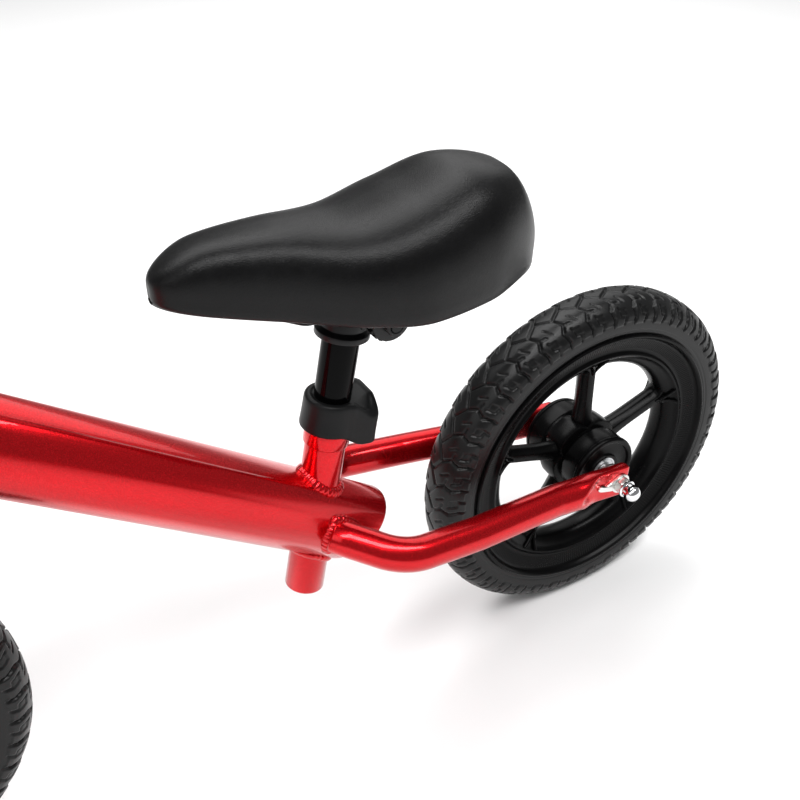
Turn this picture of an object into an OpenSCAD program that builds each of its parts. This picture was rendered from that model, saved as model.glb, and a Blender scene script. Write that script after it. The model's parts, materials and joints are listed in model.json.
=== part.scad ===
// Children's balance bike: a low step-over steel frame, two foam-tyred
// wheels, an adjustable padded saddle and an adjustable handlebar.
// +X forward, +Y to the rider's left, +Z up. The origin is on the ground,
// midway between the two axles.

/* [Wheels] */
// Outer diameter of a tyre
wheel_d = 290; // [284:1:292]
// Distance between the two axles
wheelbase = 600; // [592:1:612]
// Width of a tyre
tyre_w = 44; // [38:1:46]
// Number of spokes in a wheel
spokes = 5; // [3:1:7]
// Turn of the first spoke from straight ahead
spoke_turn = 17; // [0:1:71]

/* [Frame] */
// Outer diameter of the main tube
main_d = 58.5; // [54:0.5:62]
// Slope of the main tube
main_slope = 35.4; // [34:0.2:37]
// Outer diameter of the seat tube
seat_tube_d = 28.6; // [28.5:0.1:29]
// Backward lean of the seat tube
seat_lean = 10.8; // [9:0.2:12]
// Outer diameter of a rear stay
stay_d = 25.4; // [22:0.2:27]
// Wall thickness of the steel tubes
wall = 1.5; // [1.2:0.1:1.5]

/* [Steering] */
// Angle of the head tube from the ground
head_angle = 70; // [69:0.5:71]
// Width of the handlebar, end to end
bar_w = 404; // [360:2:430]
// Rise of the handlebar above its clamp
bar_rise = 54; // [40:1:60]

/* [Saddle] */
// Thickness of the foam at the saddle's sides
pad_side = 7; // [5:1:8]
// Thickness of the saddle's plastic base
base_t = 3; // [2:0.5:4]

/* [Hidden] */
$fn = 96;

wheel_r = wheel_d / 2;
main_r = main_d / 2;
seat_r = seat_tube_d / 2;
stay_r = stay_d / 2;
seat_post_r = 12.7;
post_r = 11.1;      // quill and handlebar
fit = 0.05;         // radial clearance of a running fit
axle_r = 4;
tube_y = 50;        // middle of a stay or leg beside its wheel, from the bike's middle
plate_y = 46.5;     // middle of its pressed end
plate_t = 12;
hub_half = 34;
J = [243, 0, 37.2];     // where the seat tube crosses the main tube, from the rear axle
steer_x = wheelbase - 25; // steering axis at axle height
steerer_r = 12.7;

function unit(v) = v / norm(v);
function along(p, q, d) = p + unit(q - p) * d;

// ---------------------------------------------------------------- places
module at_rear() translate([-wheelbase / 2, 0, wheel_r]) children();
module at_front() translate([wheelbase / 2, 0, wheel_r]) children();
// +Z runs up the main tube
module main_axis() at_rear() translate(J) rotate([0, 90 - main_slope, 0]) children();
// +Z runs up the seat tube, +X to its front
module seat_axis() at_rear() translate(J) rotate([0, -seat_lean, 0]) children();
// +Z runs up the steering axis, +X to its front
module head_axis() at_rear() translate([steer_x, 0, 0]) rotate([0, head_angle - 90, 0]) children();

// ---------------------------------------------------------------- shapes
// a straight round bar from p to q
module rod(p, q, r) {
    d = q - p;
    translate(p) rotate([0, acos(d.z / norm(d)), atan2(d.y, d.x)]) cylinder(h = norm(d), r = r);
}
// A swept bar is a list of stations, each [place, direction, half height, half width].
// Stations of a round bar along the points P, bent with radius R
function bend_at(P, i, R, r, n = 7) = let (a = unit(P[i] - P[i-1]), b = unit(P[i+1] - P[i]),
        ang = acos(min(1, a * b)), m = unit(b - (a * b) * a), c = P[i] - a * R * tan(ang / 2) + m * R)
    [for (k = [0 : n]) let (t = ang * k / n) [c + R * (a * sin(t) - m * cos(t)), a * cos(t) + m * sin(t), r, r]];
function bar_path(P, R, r) = let (n = len(P) - 1) concat(
    [[P[0], unit(P[1] - P[0]), r, r]],
    [for (i = [1 : 1 : n - 1]) each bend_at(P, i, R, r)],
    [[P[n], unit(P[n] - P[n-1]), r, r]]);
function box_pow(v, q) = sign(v) * pow(abs(v), 2 / q);
// the solid through the stations; ref is a direction never along the bar
module sweep(S, ref, sides = 24) {
    m = len(S);
    pts = [for (st = S) let (side = unit(cross(st[1], ref)), up = cross(side, st[1]),
                q = 2 + 5 * max(0, 1 - st[3] / st[2]))
            for (j = [0 : sides - 1]) let (f = 360 * j / sides)
                st[0] + side * st[3] * box_pow(cos(f), q) + up * st[2] * box_pow(sin(f), q)];
    polyhedron(points = pts, faces = concat(
        [[for (j = [sides - 1 : -1 : 0]) j]],
        [for (i = [0 : m - 2], j = [0 : sides - 1]) let (k = (j + 1) % sides) each [
            [i*sides + j, (i+1)*sides + k, (i+1)*sides + j], [i*sides + j, i*sides + k, (i+1)*sides + k]]],
        [[for (j = [0 : sides - 1]) (m-1)*sides + j]]), convexity = 6);
}
// stations of a tube end pressed flat on its outer side round an axle at c, and cut off
// square behind it; d points from the axle up the tube
function flat_end(c, d, r) = concat(
    [for (x = [44, 40, 36, 32, 28, 24]) let (t = (44 - x) / 20, e = 0.5 - 0.5 * cos(180 * t))
        [c + d * x + [0, (tube_y - plate_y) * (1 - e), 0], -d, r + 0.8 * e, r + (plate_t / 2 - r) * e]],
    [for (x = [18, 8, 0, -7]) [c + d * x, -d, r + 0.8, plate_t / 2]],
    [[c - d * 8, -d, r, plate_t / 2 - 0.8]]);
// what the axle needs cut out of a flat end: a hole and a slot that leaves by the tip
module axle_slot(c, d) translate(c) rotate([0, -atan2(d.z, d.x), 0]) {
    bar_y(axle_r + 0.2, -20, 20);
    translate([-30, -20, -axle_r - 0.2]) cube([30, 40, 2 * axle_r + 0.4]);
}
// revolved about the wheel's axis: x is the radius, y the width
module turned() rotate([90, 0, 0]) rotate_extrude() children();
module ring_y(ro, ri, y0, y1) turned() polygon([[ri, y0], [ro, y0], [ro, y1], [ri, y1]]);
module ring_z(ro, ri, z0, z1) rotate_extrude() polygon([[ri, z0], [ro, z0], [ro, z1], [ri, z1]]);
module both_sides() { children(); mirror([0, 1, 0]) children(); }
// hexagonal prism along +Y from y0 to y1
module hex_y(af, y0, y1) translate([0, y1, 0]) rotate([90, 0, 0]) cylinder(h = y1 - y0, r = af / 2 / cos(30), $fn = 6);
module hex_z(af, z0, z1) translate([0, 0, z0]) cylinder(h = z1 - z0, r = af / 2 / cos(30), $fn = 6);
module bar_y(r, y0, y1) translate([0, y1, 0]) rotate([90, 0, 0]) cylinder(h = y1 - y0, r = r);

// ---------------------------------------------------------------- wheel
module tyre() color("#161616") turned() polygon([
    [112.5, -15], [112.5, 15], [116, 15], [116, tyre_w/2 - 0.8], [120, tyre_w/2 - 0.2], [128, tyre_w/2],
    [134, tyre_w/2 - 1.2], [139, tyre_w/2 - 4.2], [142.5, tyre_w/2 - 9], [wheel_r - 0.6, tyre_w/2 - 15],
    [wheel_r, tyre_w/2 - 20], [wheel_r, -tyre_w/2 + 20], [wheel_r - 0.6, -tyre_w/2 + 15], [142.5, -tyre_w/2 + 9],
    [139, -tyre_w/2 + 4.2], [134, -tyre_w/2 + 1.2], [128, -tyre_w/2], [120, -tyre_w/2 + 0.2], [116, -tyre_w/2 + 0.8], [116, -15]]);
module rim() color("#1c1c1e") difference() {
    union() {
        // hollow-backed rim
        turned() polygon([[112.5, -15], [116, -15], [116, -22.6], [113.5, -22.6], [95, -14.2], [88, -11], [84, -6],
            [83.3, 0], [84, 6], [88, 11], [95, 14.2], [113.5, 22.6], [116, 22.6], [116, 15], [112.5, 15]]);
        // hub barrel
        turned() polygon([[11, -33.5], [14, -33.5], [14, -31], [24.5, -31], [24.5, -34], [27, -34], [29, -32], [29, -15],
            [26, -12], [26, 12], [29, 15], [29, 32], [27, 34], [24.5, 34], [24.5, 31], [14, 31], [14, 33.5], [11, 33.5],
            [11, 26], [6.5, 26], [6.5, -26], [11, -26]]);
        // spokes
        for (i = [0 : spokes - 1]) rotate([0, -spoke_turn - i * 360 / spokes, 0])
            rotate([90, 0, 0]) translate([0, 0, -8]) linear_extrude(16)
                polygon([[20, -9.5], [34, -8], [78, -6.2], [87, -9], [87, 9], [78, 6.2], [34, 8], [20, 9.5]]);
    }
}
module bearings() color("#9a9da2") for (s = [-1, 1])
    turned() polygon([[axle_r + fit, s * 26], [axle_r + fit, s * 33], [6.4, s * 33], [6.8, s * 32.6], [9.2, s * 32.6], [9.6, s * 33],
        [11, s * 33], [11, s * 26]]);
module axle() color("#b9bcc0") bar_y(axle_r, -63, 63);
module axle_spacers() color("#c9ccd0") both_sides() turned() polygon([[axle_r + fit, -33.2], [6.2, -33.2], [6.2, -36],
    [9, -38], [9, -plate_y + plate_t/2], [axle_r + fit, -plate_y + plate_t/2]]);
// a: direction of the tab, measured up from straight ahead
module safety_washers(a) color("#d2d2cc") both_sides() rotate([0, -a, 0]) difference() {
    rotate([90, 0, 0]) translate([0, 0, -plate_y - plate_t/2 - 1.8]) linear_extrude(1.8) union() {
        circle(r = 8.5);
        polygon([[0, -7], [9, -4.6], [18, -2.6], [22, -2.2], [23, -0.8], [23, 0.8], [22, 2.2], [18, 2.6], [9, 4.6], [0, 7]]);
    }
    bar_y(axle_r + fit, -80, 80);
}
module axle_nuts() color("#c9ccd0") both_sides() difference() {
    hex_y(13, plate_y + plate_t/2 + 1.8, plate_y + plate_t/2 + 8);
    bar_y(axle_r + fit, 40, 70);
}
module axle_caps() color("#e2e4e8") both_sides() difference() {
    turned() polygon([[0, -60.5], [8.2, -60.5], [8.2, -62], [6.2, -62.8], [6.2, -64.4], [6.8, -65.4], [6.8, -67.6], [6.4, -69.6],
        [5.4, -71.4], [3.8, -72.7], [1.9, -73.4], [0, -73.5]]);
    bar_y(axle_r + fit, -63.4, 63.4);
}

// ---------------------------------------------------------------- frame
axle_c = [0, plate_y, 0];
stay_dir = unit([46, 0, 5]);    // up the stay, from the rear axle
stay_c = [0, tube_y, 0];
stay_pts = [[243, 25.6, 37.2], [203, 60.5, 23.2], [140, 57.5, 15], stay_c + stay_dir * 64, stay_c + stay_dir * 48];
module main_solid(r, a, b) main_axis() translate([0, 0, a]) cylinder(h = b - a, r = r);
module head_solid(r) head_axis() translate([0, 0, 150]) cylinder(h = 180, r = r);
module seat_solid(r) seat_axis() translate([0, 0, -63]) cylinder(h = 159, r = r);
// the main tube filled in, its rear end cut at a slant
module main_body() difference() {
    main_solid(main_r, -60, 310);
    main_axis() translate([0, 0, -33]) rotate([0, -24, 0]) translate([-60, -60, -100]) cube([120, 120, 100]);
}

module main_tube() color("#b3121d") difference() {
    main_body();
    main_solid(main_r - wall, -70, 307);
    seat_solid(seat_r);
    head_solid(18);
}
module head_tube() color("#b3121d") head_axis() ring_z(18, 15, 188, 284);
module seat_tube() color("#b3121d") difference() {
    seat_solid(seat_r);
    seat_axis() translate([0, 0, -80]) cylinder(h = 200, r = seat_post_r + fit);
    // slit that lets the clamp close
    seat_axis() translate([-20, -1.2, 76]) cube([15, 2.4, 60]);
}
module seat_tube_sleeve() color("#b3121d") seat_axis() ring_z(16, seat_r, 62, 74);
module stay() difference() {
    at_rear() sweep(concat(bar_path(stay_pts, 45, stay_r), flat_end(axle_c, stay_dir, stay_r)), [0, 0, 1]);
    at_rear() sweep(bar_path([along(stay_pts[0], stay_pts[1], 3), stay_pts[1], stay_pts[2], stay_pts[3], stay_pts[4]], 45, stay_r - wall), [0, 0, 1]);
    at_rear() axle_slot(axle_c, stay_dir);
    main_body();
}
module left_stay() color("#b3121d") stay();
module right_stay() color("#b3121d") mirror([0, 1, 0]) stay();

module seat_clamp_band() color("#1d1d1f") seat_axis() difference() {
    union() {
        translate([0, 0, 75.5]) cylinder(h = 19.5, r = 17);
        translate([-26.5, -9, 77]) cube([16, 18, 16]);
    }
    translate([0, 0, 60]) cylinder(h = 50, r = seat_r);
    translate([-40, -1.5, 60]) cube([32, 3, 50]);
    translate([-21, 0, 85]) bar_y(3.05, -20, 20);
}
module seat_clamp_bolt() color("#c9ccd0") seat_axis() translate([-21, 0, 85]) {
    bar_y(3, -14, 9);
    bar_y(5, 9, 13);
}
module seat_clamp_nut() color("#c9ccd0") seat_axis() translate([-21, 0, 85]) difference() {
    hex_y(10, -14, -9);
    bar_y(3, -15, -8);
}
// soft boot pulled over the clamp, lower at the back
module seat_clamp_cover() color("#17171a") seat_axis() difference() {
    union() {
        translate([-30, -19, 64]) cube([28, 38, 32]);
        rotate_extrude() polygon([[0, 64], [20, 64], [20, 74], [19.2, 96], [18.2, 98.6], [16.4, 99.6], [0, 99.6]]);
    }
    translate([0, 0, 71]) rotate([0, -9, 0]) translate([-60, -40, -40]) cube([120, 80, 40]);
    translate([0, 0, 75.3]) cylinder(h = 22, r = 17.3);
    translate([-28, -17, 75.3]) cube([26, 34, 18.5]);
    translate([0, 0, 60]) cylinder(h = 20, r = 16);
    translate([0, 0, 90]) cylinder(h = 30, r = seat_post_r + 0.4);
}

// ---------------------------------------------------------------- headset
module headset_cups() color("#c9ccd0") head_axis() {
    rotate_extrude() polygon([[13.2, 181], [18.2, 181], [18.2, 177.8], [20.5, 177.8], [20.5, 185], [18, 188],
        [15, 188], [15, 198], [13.2, 198]]);
    rotate_extrude() polygon([[13.2, 274], [15, 274], [15, 284], [18, 284], [20.5, 287], [20.5, 294.2], [18.2, 294.2],
        [18.2, 291], [13.2, 291]]);
}
module headset_ball_rings() color("#9a9da2") head_axis() {
    ring_z(17.6, 13.6, 177.3, 180.8);
    ring_z(17.6, 13.6, 291.2, 294.7);
}
module fork_crown_race() color("#b9bcc0") head_axis() ring_z(17.2, steerer_r, 171.8, 177);
module headset_top_race() color("#c9ccd0") head_axis() ring_z(17.2, steerer_r, 295, 300.5);
module headset_locknut() color("#c9ccd0") head_axis() difference() {
    hex_z(30, 300.5, 306.5);
    translate([0, 0, 290]) cylinder(h = 30, r = steerer_r);
}

// ---------------------------------------------------------------- fork
function on_head(s) = [steer_x - s * cos(head_angle), 0, s * sin(head_angle)];
module fork_steerer() color("#b3121d") head_axis() ring_z(steerer_r, post_r + fit, 148, 306.5);
leg_a = 117.2;      // direction of a leg from the axle, up from straight ahead
leg_c = [wheelbase, plate_y, 0];
leg_dir = [cos(leg_a), 0, sin(leg_a)];
leg_tube = [wheelbase, tube_y, 0];
leg_pts = [on_head(160) - [0, 4, 0], [526, 41, 143], leg_tube + leg_dir * 64, leg_tube + leg_dir * 48];
module fork_leg() difference() {
    at_rear() sweep(concat(bar_path(leg_pts, 22, 11), flat_end(leg_c, leg_dir, 11)), [1, 0, 0]);
    at_rear() sweep(bar_path(leg_pts, 22, 11 - wall), [1, 0, 0]);
    at_rear() axle_slot(leg_c, leg_dir);
    head_axis() translate([0, 0, 120]) cylinder(h = 100, r = steerer_r);
}
module left_fork_leg() color("#b3121d") fork_leg();
module right_fork_leg() color("#b3121d") mirror([0, 1, 0]) fork_leg();

// ---------------------------------------------------------------- seat post and saddle
bolt = [-16.7, 0, 165.9];   // saddle clamp bolt, on the seat tube's axes
module at_bolt() at_rear() translate([195.5, 0, 197]) children();
module seat_post() color("#141416") seat_axis() ring_z(seat_post_r, seat_post_r - wall, -20, 172);
module saddle_clamp_core() color("#1a1a1c") seat_axis() difference() {
    union() {
        rotate_extrude() polygon([[10, 145], [18.5, 145], [18.5, 149], [15.2, 151.5], [15.2, 172], [10, 172]]);
        translate([-29, -15, 154]) cube([24, 30, 23]);
    }
    translate([0, 0, 140]) cylinder(h = 60, r = seat_post_r);
    translate(bolt) bar_y(axle_r + fit, -30, 30);
}
module saddle_clamp_bolt() color("#b9bcc0") at_bolt() bar_y(axle_r, -37, 37);
module saddle_clamp_nuts() color("#c9ccd0") at_bolt() both_sides() difference() {
    hex_y(13, 30.2, 36.5);
    bar_y(axle_r, 20, 50);
}
rail_pts = [[303, 10.2, 233.4], [250, 20, 209.5], [150, 20, 202], [107, 23.8, 233.4]];
module rails_solid(r) at_rear() both_sides() sweep(bar_path(rail_pts, 18, r), [0, 1, 0], 16);
module saddle_clamp_jaws() color("#202022") difference() {
    at_bolt() both_sides() {
        bar_y(13.5, 15.6, 29.8);
        for (a = [0 : 20 : 340]) rotate([0, a, 0]) translate([13, 22, -1.2]) cube([1.6, 6, 2.4]);
    }
    at_bolt() bar_y(axle_r + 0.1, -40, 40);
    // grooves for the rails
    at_rear() both_sides() rod([250, 20, 209.5], [150, 20, 202], 3.55);
}
module saddle_rails() color("#2a2a2c") rails_solid(3.5);

// saddle stations run from the nose to the tail
nose_x = 337; tail_x = 74;
half_w = [25, 28, 34.5, 45, 53, 55, 50, 42];
top_z  = [261, 271, 269, 264.5, 268.5, 278.5, 282, 240];
low_z  = [237, 226.5, 217, 207.5, 201.5, 200, 202.5, 200];
function cr(a, b, c, d, t) = b + 0.5 * t * (c - a + t * (2*a - 5*b + 4*c - d + t * (3*(b - c) + d - a)));
function at(T, s) = let (n = len(T) - 1, k = min(n - 1, floor(s * n)), t = s * n - k)
    cr(T[max(0, k-1)], T[k], T[k+1], T[min(n, k+2)], t);
function closing(s) = pow(max(0, 1 - pow(abs(2*s - 1), 5)), 1/2.2);
ring_n = 20;
// one cross-section: a flat-bottomed dome, g in from the outside and up to z = top
function section(s, g, x, top, low) = let (e = closing(s), w = max(14, at(half_w, s) * e) - g,
        zm = low + (top - low) * 0.38)
    concat([for (i = [0 : ring_n]) let (a = 180 * i / ring_n, c = cos(a), q = sin(a))
            [x, sign(c) * pow(abs(c), 2/2.6) * w, zm + (top - zm) * pow(max(0, q), 2/2.6) * pow(e, 0.6)]],
        [[x, -w * 0.94, low], [x, w * 0.94, low]]);
module loft(g, drop, stations = 26) {
    n = ring_n + 3;
    S = [for (i = [0 : stations]) 0.5 - 0.5 * cos(180 * (0.06 + 0.88 * i / stations))];
    pts = [for (s = S) each section(s, g, nose_x + (tail_x - nose_x) * s, at(top_z, s), at(low_z, s) - drop)];
    m = len(S);
    polyhedron(points = pts, faces = concat(
        [[for (j = [n - 1 : -1 : 0]) j]],
        [for (i = [0 : m - 2], j = [0 : n - 1]) each [
            [i*n + j, (i+1)*n + (j+1) % n, (i+1)*n + j], [i*n + j, i*n + (j+1) % n, (i+1)*n + (j+1) % n]]],
        [[for (j = [0 : n - 1]) (m-1)*n + j]]), convexity = 4);
}
// the saddle's outline from above, g in from the edge
function edge_x(s, g) = nose_x + (tail_x - nose_x) * s + g * (s < 0.5 ? -1 : 1) * pow(abs(2*s - 1), 8);
function edge_w(s, g) = max(14, at(half_w, s) * closing(s)) - g;
function outline(g, n = 26) = let (S = [for (i = [0 : n]) 0.5 - 0.5 * cos(180 * (0.06 + 0.88 * i / n))])
    concat([for (s = S) [edge_x(s, g), edge_w(s, g)]], [for (i = [n : -1 : 0]) [edge_x(S[i], g), -edge_w(S[i], g)]]);
base_top = 237;     // underside of the foam
module saddle_pad() color("#18181a") at_rear() difference() {
    loft(0, 0);
    translate([0, 0, 150]) linear_extrude(base_top - 150) polygon(outline(pad_side));
}
module saddle_base() color("#232325") at_rear() {
    difference() {
        translate([0, 0, base_top - 9.2]) linear_extrude(9) polygon(outline(pad_side + 0.3));
        translate([0, 0, base_top - 20.2]) linear_extrude(20 - base_t) polygon(outline(pad_side + 0.3 + base_t));
        translate([300, -60, base_top - 30]) cube([60, 120, 29.8 - base_t]);
    }
}

// ---------------------------------------------------------------- stem and handlebar
clamp = [38, 0, 366];    // handlebar clamp on the steering axes
module stem() color("#1d1d1f") head_axis() difference() {
    union() {
        translate([0, 0, 215]) cylinder(h = 165, r = post_r);
        translate([0, 0, 350]) cylinder(h = 32, r = 15);
        translate([0, -13, 353]) cube([34, 26, 26]);
        translate(clamp) bar_y(16.5, -20, 20);
        translate(clamp + [4, -20, -11]) cube([30, 40, 22]);
    }
    translate([0, 0, 200]) cylinder(h = 200, r = 4.2);
    translate([0, 0, 376]) cylinder(h = 20, r = 7.5);
    // slanted foot that the wedge slides on
    translate([0, 0, 215]) rotate([0, 45, 0]) translate([-30, -30, -30]) cube([60, 60, 30]);
    translate(clamp) bar_y(post_r + fit, -30, 30);
    translate(clamp + [5, -30, -1.2]) cube([40, 60, 2.4]);
    translate(clamp + [25, 0, -20]) cylinder(h = 40, r = 3.05);
}
module stem_wedge() color("#9a9da2") head_axis() difference() {
    translate([0, 0, 190]) cylinder(h = 40, r = post_r - 0.2);
    translate([0, 0, 214.2]) rotate([0, 45, 0]) translate([-40, -30, 0]) cube([80, 60, 40]);
    translate([0, 0, 180]) cylinder(h = 60, r = 4.2);
}
module stem_bolt() color("#c9ccd0") head_axis() {
    translate([0, 0, 186]) cylinder(h = 192, r = 4);
    translate([0, 0, 376]) cylinder(h = 6, r = 6.5);
}
module stem_clamp_bolt() color("#c9ccd0") head_axis() translate(clamp + [25, 0, 0]) {
    translate([0, 0, -17]) cylinder(h = 28, r = 3);
    translate([0, 0, 11]) cylinder(h = 5, r = 5);
}
module stem_clamp_nut() color("#c9ccd0") head_axis() translate(clamp + [25, 0, 0]) difference() {
    hex_z(10, -16, -11);
    translate([0, 0, -18]) cylinder(h = 10, r = 3);
}
// middle of the handlebar's clamp, from the rear axle
bar_c = [steer_x + clamp.x * sin(head_angle) - clamp.z * cos(head_angle), 0,
         clamp.x * cos(head_angle) + clamp.z * sin(head_angle)];
bar_half = bar_w / 2 - 4;
bar_pts = [[-22, bar_half, bar_rise + 4], [-6, 85, bar_rise], [0, 42, 0], [0, -42, 0], [-6, -85, bar_rise], [-22, -bar_half, bar_rise + 4]];
module handlebar() color("#1a1a1c") at_rear() translate(bar_c) difference() {
    sweep(bar_path(bar_pts, 35, post_r), [1, 0, 0]);
    sweep(bar_path([bar_pts[0] + [0, 1, 0], bar_pts[1], bar_pts[2], bar_pts[3], bar_pts[4], bar_pts[5] - [0, 1, 0]], 35, post_r - wall), [1, 0, 0]);
}
module grip() at_rear() translate(bar_c + bar_pts[0]) {
    d = unit(bar_pts[1] - bar_pts[0]);
    rotate([0, acos(d.z), atan2(d.y, d.x)]) rotate_extrude()
        polygon([[0, -4], [14, -4], [18, -2], [19.5, 1.5], [18.5, 5], [15, 8], [15, 84], [20, 86.5], [20, 90], [16, 92], [post_r, 92], [post_r, 0], [0, 0]]);
}
module left_grip() color("#17171a") grip();
module right_grip() color("#17171a") mirror([0, 1, 0]) grip();

main_tube();
head_tube();
seat_tube();
seat_tube_sleeve();
left_stay();
right_stay();
seat_clamp_band();
seat_clamp_bolt();
seat_clamp_nut();
seat_clamp_cover();
headset_cups();
headset_ball_rings();
at_rear() axle();  // rear_axle
at_rear() axle_spacers();  // rear_spacers
at_rear() safety_washers(6.2);  // rear_safety_washers
at_rear() axle_nuts();  // rear_axle_nuts
at_rear() axle_caps();  // rear_axle_caps
at_rear() tyre();  // rear_tyre
at_rear() rim();  // rear_rim
at_rear() bearings();  // rear_bearings
seat_post();
saddle_clamp_core();
saddle_clamp_bolt();
saddle_clamp_nuts();
saddle_clamp_jaws();
saddle_rails();
saddle_base();
saddle_pad();
fork_steerer();
left_fork_leg();
right_fork_leg();
fork_crown_race();
headset_top_race();
headset_locknut();
at_front() axle();  // front_axle
at_front() axle_spacers();  // front_spacers
at_front() safety_washers(leg_a);  // front_safety_washers
at_front() axle_nuts();  // front_axle_nuts
at_front() axle_caps();  // front_axle_caps
at_front() tyre();  // front_tyre
at_front() rim();  // front_rim
at_front() bearings();  // front_bearings
stem();
stem_wedge();
stem_bolt();
stem_clamp_bolt();
stem_clamp_nut();
handlebar();
left_grip();
right_grip();
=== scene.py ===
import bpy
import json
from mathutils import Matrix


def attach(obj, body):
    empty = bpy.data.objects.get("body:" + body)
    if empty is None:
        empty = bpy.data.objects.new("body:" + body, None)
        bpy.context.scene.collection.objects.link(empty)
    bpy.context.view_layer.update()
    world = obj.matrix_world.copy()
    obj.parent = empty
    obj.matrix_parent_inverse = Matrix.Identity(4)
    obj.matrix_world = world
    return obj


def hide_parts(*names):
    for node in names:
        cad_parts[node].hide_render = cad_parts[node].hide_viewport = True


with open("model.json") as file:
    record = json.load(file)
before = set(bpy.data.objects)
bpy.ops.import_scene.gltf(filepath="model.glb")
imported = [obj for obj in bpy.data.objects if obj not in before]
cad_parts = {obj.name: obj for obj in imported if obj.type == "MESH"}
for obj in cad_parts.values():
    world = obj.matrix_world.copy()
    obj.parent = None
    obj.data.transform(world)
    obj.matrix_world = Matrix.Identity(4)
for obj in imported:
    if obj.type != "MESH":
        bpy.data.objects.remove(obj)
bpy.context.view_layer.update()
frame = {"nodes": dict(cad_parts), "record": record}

import bpy, bmesh, math, json, random
import numpy as np
from mathutils import Vector, Matrix, noise

random.seed(7)
bpy.context.scene.view_settings.view_transform = "Standard"
MM = 0.001
WB, WR = 600.0, 145.0


def W(p):
    """millimetres from the rear axle -> metres in the row frame"""
    return ((p[0] - WB / 2) * MM, p[1] * MM, (p[2] + WR) * MM)


def unit(v):
    v = np.array(v, float)
    return v / np.linalg.norm(v)


# ------------------------------------------------------------------ materials
def _nodes(name):
    m = bpy.data.materials.new(name)
    m.use_nodes = True
    nt = m.node_tree
    return m, nt, nt.nodes["Principled BSDF"]


def _n(nt, kind, **kw):
    n = nt.nodes.new(kind)
    for k, v in kw.items():
        if k in n.inputs:
            n.inputs[k].default_value = v
        else:
            setattr(n, k, v)
    return n


def _coords(nt, scale=1.0):
    tc = _n(nt, "ShaderNodeTexCoord")
    mp = _n(nt, "ShaderNodeMapping")
    mp.inputs["Scale"].default_value = (scale,) * 3
    nt.links.new(tc.outputs["Object"], mp.inputs["Vector"])
    return mp.outputs["Vector"]


def _noise(nt, vec, scale, detail=3.0, rough=0.5):
    n = _n(nt, "ShaderNodeTexNoise")
    n.inputs["Scale"].default_value = scale
    n.inputs["Detail"].default_value = detail
    n.inputs["Roughness"].default_value = rough
    nt.links.new(vec, n.inputs["Vector"])
    return n


def _ramp(nt, fac, stops):
    r = _n(nt, "ShaderNodeValToRGB")
    el = r.color_ramp.elements
    while len(el) < len(stops):
        el.new(0.5)
    for e, (p, c) in zip(el, stops):
        e.position = p
        e.color = c if len(c) == 4 else (*c, 1)
    nt.links.new(fac, r.inputs["Fac"])
    return r


def _bump(nt, height, strength, dist, normal=None):
    b = _n(nt, "ShaderNodeBump")
    b.inputs["Strength"].default_value = strength
    b.inputs["Distance"].default_value = dist
    nt.links.new(height, b.inputs["Height"])
    if normal is not None:
        nt.links.new(normal, b.inputs["Normal"])
    return b.outputs["Normal"]


def _map(nt, fac, lo, hi):
    m = _n(nt, "ShaderNodeMapRange")
    m.inputs["To Min"].default_value = lo
    m.inputs["To Max"].default_value = hi
    nt.links.new(fac, m.inputs["Value"])
    return m.outputs["Result"]


def mat_candy():
    """red metallic enamel: deep colour, fine flake, clear coat with a little orange peel"""
    m, nt, b = _nodes("candy_red")
    v = _coords(nt)
    flake = _n(nt, "ShaderNodeTexVoronoi")
    flake.inputs["Scale"].default_value = 2600
    nt.links.new(v, flake.inputs["Vector"])
    big = _noise(nt, v, 9, 2)
    c1 = _ramp(nt, flake.outputs["Color"], [(0.0, (0.46, 0.0012, 0.004)), (0.55, (0.62, 0.002, 0.007)), (1.0, (0.86, 0.008, 0.016))])
    c2 = _ramp(nt, big.outputs["Fac"], [(0.35, (0.93, 0.93, 0.93)), (0.65, (1.0, 1.0, 1.0))])
    mix = _n(nt, "ShaderNodeMix")
    mix.data_type = "RGBA"
    mix.blend_type = "MULTIPLY"
    mix.inputs["Factor"].default_value = 1.0
    nt.links.new(c1.outputs["Color"], mix.inputs[6])
    nt.links.new(c2.outputs["Color"], mix.inputs[7])
    nt.links.new(mix.outputs[2], b.inputs["Base Color"])
    b.inputs["Metallic"].default_value = 0.80
    nt.links.new(_map(nt, flake.outputs["Distance"], 0.20, 0.30), b.inputs["Roughness"])
    b.inputs["Specular IOR Level"].default_value = 0.25
    b.inputs["Coat Weight"].default_value = 0.40
    b.inputs["Coat Roughness"].default_value = 0.035
    peel = _noise(nt, v, 260, 2)
    n1 = _bump(nt, peel.outputs["Fac"], 0.06, 0.0004)
    n2 = _bump(nt, flake.outputs["Distance"], 0.05, 0.0002, n1)
    nt.links.new(n2, b.inputs["Normal"])
    nt.links.new(n1, b.inputs["Coat Normal"])
    return m


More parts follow.
